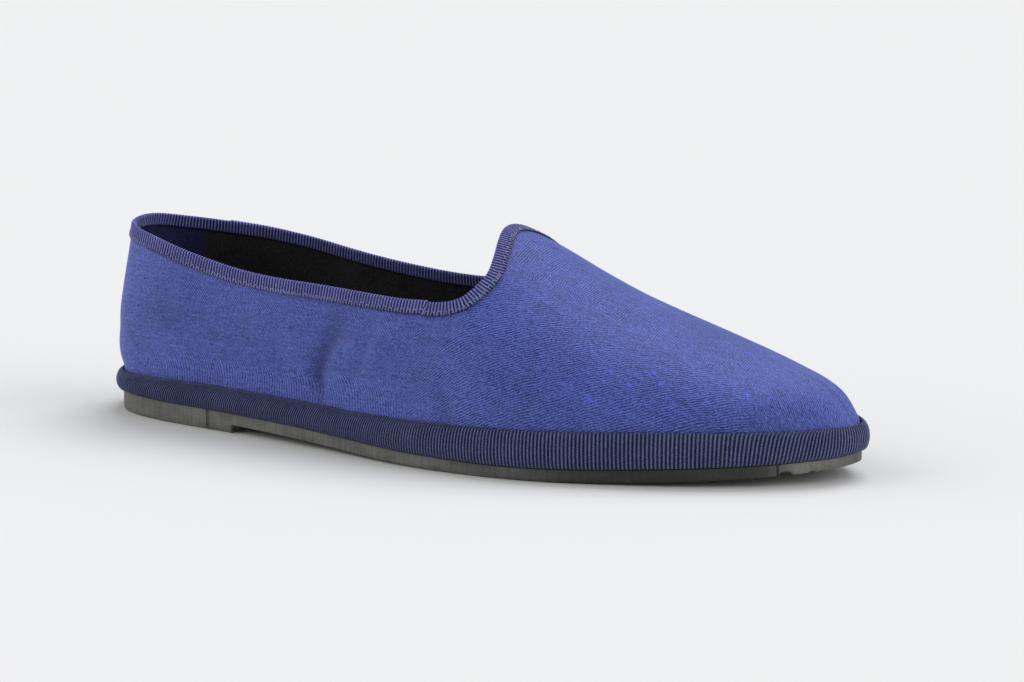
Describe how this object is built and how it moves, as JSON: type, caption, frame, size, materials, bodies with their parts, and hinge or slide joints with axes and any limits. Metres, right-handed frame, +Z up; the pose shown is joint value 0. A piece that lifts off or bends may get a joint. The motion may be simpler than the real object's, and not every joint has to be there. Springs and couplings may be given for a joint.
{
  "type": "friulane slipper",
  "caption": "Right cloth slipper with a low rounded vamp, ribbon-bound topline, ribbed cloth midsole edge and a cut rubber outsole with a low heel block.",
  "frame": {"origin": "on the floor, under the middle of the footprint's box", "axes": "+X from the heel to the toe, +Y to the inner (medial) side, +Z up"},
  "size_m": [0.27, 0.0942, 0.0734],
  "materials": {
    "silk": "satin",
    "binding_ribbon": "matte",
    "edge_ribbon": "matte",
    "rubber": "matte",
    "insole_cloth": "matte"
  },
  "bodies": {
    "root": {"upper": "silk", "topline_binding": "binding_ribbon", "midsole": "edge_ribbon", "outsole": "rubber", "insole": "insole_cloth"}
  },
  "joints": []
}
